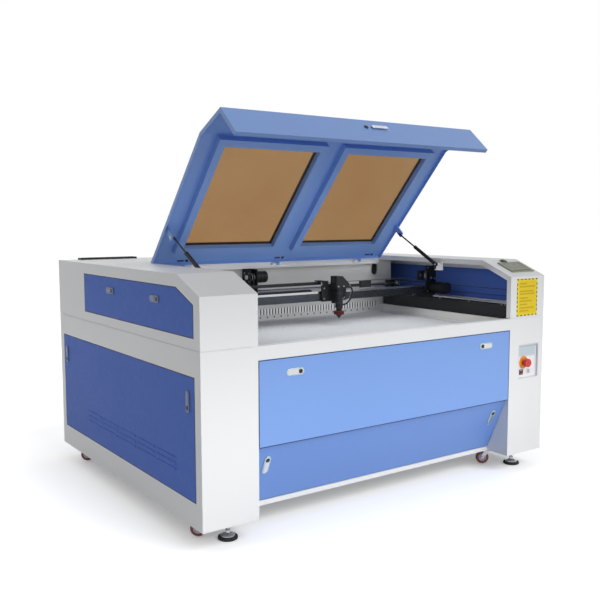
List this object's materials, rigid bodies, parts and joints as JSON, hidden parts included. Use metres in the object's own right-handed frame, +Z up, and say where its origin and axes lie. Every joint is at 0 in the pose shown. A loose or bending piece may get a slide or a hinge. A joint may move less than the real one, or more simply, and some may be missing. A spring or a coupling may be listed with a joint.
{
  "type": "laser cutting machine",
  "caption": "Floor-standing laser cutting and engraving machine: white sheet cabinet with blue panels, honeycomb bed, gantry with laser head, and a windowed lid held open by gas struts.",
  "frame": {"origin": "centre of the bounding box at floor level, between the levelling feet", "axes": "+X along the gantry beam to the right, seen from the operator in front; +Y from the front to the rear; +Z up"},
  "size_m": [1.861, 1.552, 1.6162],
  "materials": {
    "white_paint": "satin",
    "blue_paint": "satin",
    "black_paint": "satin",
    "liner_paint": "satin",
    "zinc_steel": "zinc plated",
    "chrome_plate": "polished",
    "bed_aluminium": "raw",
    "beam_aluminium": "dark anodised",
    "guide_steel": "ground",
    "belt_rubber": "matt",
    "hose_rubber": "matt",
    "chain_plastic": "matt",
    "window_acrylic": "tinted",
    "tube_glass": "clear",
    "maroon_anodised": "satin",
    "maroon_plastic": "gloss",
    "red_plastic": "gloss",
    "grey_plastic": "matt",
    "dark_case": "satin",
    "foot_plastic": "matt"
  },
  "bodies": {
    "cabinet": {"lower_cabinet": "white_paint", "upper_cabinet": "white_paint", "bay_liner": "liner_paint", "rear_bulkhead": "liner_paint", "slat_table": "bed_aluminium", "honeycomb_bed": "bed_aluminium", "y_rails": "black_paint", "y_belts": "belt_rubber", "y_motor": "black_paint", "laser_tube": "tube_glass", "tube_supports": "black_paint", "laser_power_supply": "dark_case", "motion_controller": "dark_case", "exhaust_collar": "zinc_steel", "lid_hinges": "zinc_steel", "control_panel": "grey_plastic", "switch_plate": "grey_plastic", "levelling_feet": "foot_plastic"},
    "lid": {"lid_shell": "blue_paint", "lid_windows": "window_acrylic", "lid_handle": "chrome_plate"},
    "left_cylinder": {"left_strut_cylinder": "black_paint"},
    "left_rod": {"left_strut_rod": "guide_steel"},
    "right_cylinder": {"right_strut_cylinder": "black_paint"},
    "right_rod": {"right_strut_rod": "guide_steel"},
    "gantry": {"gantry_beam": "beam_aluminium", "gantry_carriages": "black_paint", "x_guide": "guide_steel", "x_motor": "black_paint", "x_belt": "belt_rubber", "beam_mirror": "black_paint", "cable_chain": "chain_plastic"},
    "head": {"head_carriage": "black_paint", "laser_head": "black_paint", "air_hose": "hose_rubber"},
    "lens": {"lens_tube": "maroon_anodised"},
    "shaft": {"drive_shaft": "guide_steel"},
    "hatch": {"rear_hatch": "white_paint"},
    "front_upper": {"front_upper_panel": "blue_paint", "front_upper_locks": "zinc_steel"},
    "front_lower": {"front_lower_panel": "blue_paint", "front_lower_locks": "zinc_steel"},
    "left_upper": {"left_upper_panel": "blue_paint", "left_upper_locks": "zinc_steel"},
    "left_lower": {"left_lower_panel": "blue_paint", "left_lower_locks": "zinc_steel"},
    "right_upper": {"right_upper_panel": "blue_paint"},
    "right_lower": {"right_lower_panel": "blue_paint"},
    "rear": {"rear_panel": "blue_paint"},
    "stop_button": {"emergency_stop": "red_plastic"},
    "key": {"key_switch": "chrome_plate"},
    "rocker": {"power_switch": "red_plastic"},
    "front_left_swivel": {"front_left_fork": "zinc_steel"},
    "front_left_roller": {"front_left_wheel": "maroon_plastic"},
    "front_right_swivel": {"front_right_fork": "zinc_steel"},
    "front_right_roller": {"front_right_wheel": "maroon_plastic"},
    "rear_left_swivel": {"rear_left_fork": "zinc_steel"},
    "rear_left_roller": {"rear_left_wheel": "maroon_plastic"},
    "rear_right_swivel": {"rear_right_fork": "zinc_steel"},
    "rear_right_roller": {"rear_right_wheel": "maroon_plastic"}
  },
  "joints": [
    {"name": "lid_hinge", "type": "hinge", "parent": "cabinet", "child": "lid", "pos_m": [0, 0.16, 0.97], "axis": [1, 0, 0], "range_deg": [0, 47.8]},
    {"name": "left_strut_pivot", "type": "hinge", "parent": "cabinet", "child": "left_cylinder", "pos_m": [-0.66, -0.294, 0.965], "axis": [1, 0, 0], "range_deg": [-37.28, 0]},
    {"name": "left_strut_slide", "type": "slide", "parent": "left_cylinder", "child": "left_rod", "axis": [0, 0.8773, 0.48], "range_m": [-0.0817, 0]},
    {"name": "right_strut_pivot", "type": "hinge", "parent": "cabinet", "child": "right_cylinder", "pos_m": [0.66, -0.294, 0.965], "axis": [1, 0, 0], "range_deg": [-37.28, 0]},
    {"name": "right_strut_slide", "type": "slide", "parent": "right_cylinder", "child": "right_rod", "axis": [0, 0.8773, 0.48], "range_m": [-0.0817, 0]},
    {"name": "gantry_travel", "type": "slide", "parent": "cabinet", "child": "gantry", "axis": [0, 1, 0], "range_m": [-0.43, 0.17]},
    {"name": "head_travel", "type": "slide", "parent": "gantry", "child": "head", "axis": [1, 0, 0], "range_m": [-0.73, 0.31]},
    {"name": "focus_travel", "type": "slide", "parent": "head", "child": "lens", "axis": [0, 0, 1], "range_m": [-0.02, 0.014]},
    {"name": "shaft_turn", "type": "hinge", "parent": "cabinet", "child": "shaft", "pos_m": [0, 0.151, 0.837], "axis": [1, 0, 0], "continuous": true},
    {"name": "hatch_hinge", "type": "hinge", "parent": "cabinet", "child": "hatch", "pos_m": [0, 0.639, 0.995], "axis": [-1, 0, 0], "range_deg": [0, 80]},
    {"name": "front_upper_lift", "type": "slide", "parent": "cabinet", "child": "front_upper", "axis": [0, -1, 0], "range_m": [0, 0.06]},
    {"name": "front_lower_lift", "type": "slide", "parent": "cabinet", "child": "front_lower", "axis": [0, -0.9156, -0.402], "range_m": [0, 0.06]},
    {"name": "left_upper_lift", "type": "slide", "parent": "cabinet", "child": "left_upper", "axis": [-1, 0, 0], "range_m": [0, 0.06]},
    {"name": "left_lower_lift", "type": "slide", "parent": "cabinet", "child": "left_lower", "axis": [-1, 0, 0], "range_m": [0, 0.06]},
    {"name": "right_upper_lift", "type": "slide", "parent": "cabinet", "child": "right_upper", "axis": [1, 0, 0], "range_m": [0, 0.06]},
    {"name": "right_lower_lift", "type": "slide", "parent": "cabinet", "child": "right_lower", "axis": [1, 0, 0], "range_m": [0, 0.06]},
    {"name": "rear_lift", "type": "slide", "parent": "cabinet", "child": "rear", "axis": [0, 1, 0], "range_m": [0, 0.06]},
    {"name": "stop_press", "type": "slide", "parent": "cabinet", "child": "stop_button", "axis": [0, 1, 0], "range_m": [0, 0.006]},
    {"name": "key_turn", "type": "hinge", "parent": "cabinet", "child": "key", "pos_m": [0.834, -0.754, 0.471], "axis": [0, 1, 0], "range_deg": [0, 90]},
    {"name": "rocker_tilt", "type": "hinge", "parent": "cabinet", "child": "rocker", "pos_m": [0.783, -0.743, 0.469], "axis": [1, 0, 0], "range_deg": [-24, 0]},
    {"name": "front_left_swivel", "type": "hinge", "parent": "cabinet", "child": "front_left_swivel", "pos_m": [-0.839, -0.603, 0.07], "axis": [0, 0, 1], "continuous": true},
    {"name": "front_left_roll", "type": "hinge", "parent": "front_left_swivel", "child": "front_left_roller", "pos_m": [-0.85657, -0.58976, 0.035], "axis": [-0.6018, -0.7986, 0], "continuous": true},
    {"name": "front_right_swivel", "type": "hinge", "parent": "cabinet", "child": "front_right_swivel", "pos_m": [0.717, -0.603, 0.07], "axis": [0, 0, 1], "continuous": true},
    {"name": "front_right_roll", "type": "hinge", "parent": "front_right_swivel", "child": "front_right_roller", "pos_m": [0.69943, -0.58976, 0.035], "axis": [-0.6018, -0.7986, 0], "continuous": true},
    {"name": "rear_left_swivel", "type": "hinge", "parent": "cabinet", "child": "rear_left_swivel", "pos_m": [-0.839, 0.565, 0.07], "axis": [0, 0, 1], "continuous": true},
    {"name": "rear_left_roll", "type": "hinge", "parent": "rear_left_swivel", "child": "rear_left_roller", "pos_m": [-0.85657, 0.57824, 0.035], "axis": [-0.6018, -0.7986, 0], "continuous": true},
    {"name": "rear_right_swivel", "type": "hinge", "parent": "cabinet", "child": "rear_right_swivel", "pos_m": [0.717, 0.565, 0.07], "axis": [0, 0, 1], "continuous": true},
    {"name": "rear_right_roll", "type": "hinge", "parent": "rear_right_swivel", "child": "rear_right_roller", "pos_m": [0.69943, 0.57824, 0.035], "axis": [-0.6018, -0.7986, 0], "continuous": true}
  ],
  "couplings": [
    {"joint": "left_strut_pivot", "follows": "lid_hinge", "ratio": -0.77993},
    {"joint": "left_strut_slide", "follows": "lid_hinge", "m_per_rad": -0.097918},
    {"joint": "right_strut_pivot", "follows": "lid_hinge", "ratio": -0.77993},
    {"joint": "right_strut_slide", "follows": "lid_hinge", "m_per_rad": -0.097918},
    {"joint": "shaft_turn", "follows": "gantry_travel", "rad_per_m": -63.5}
  ]
}
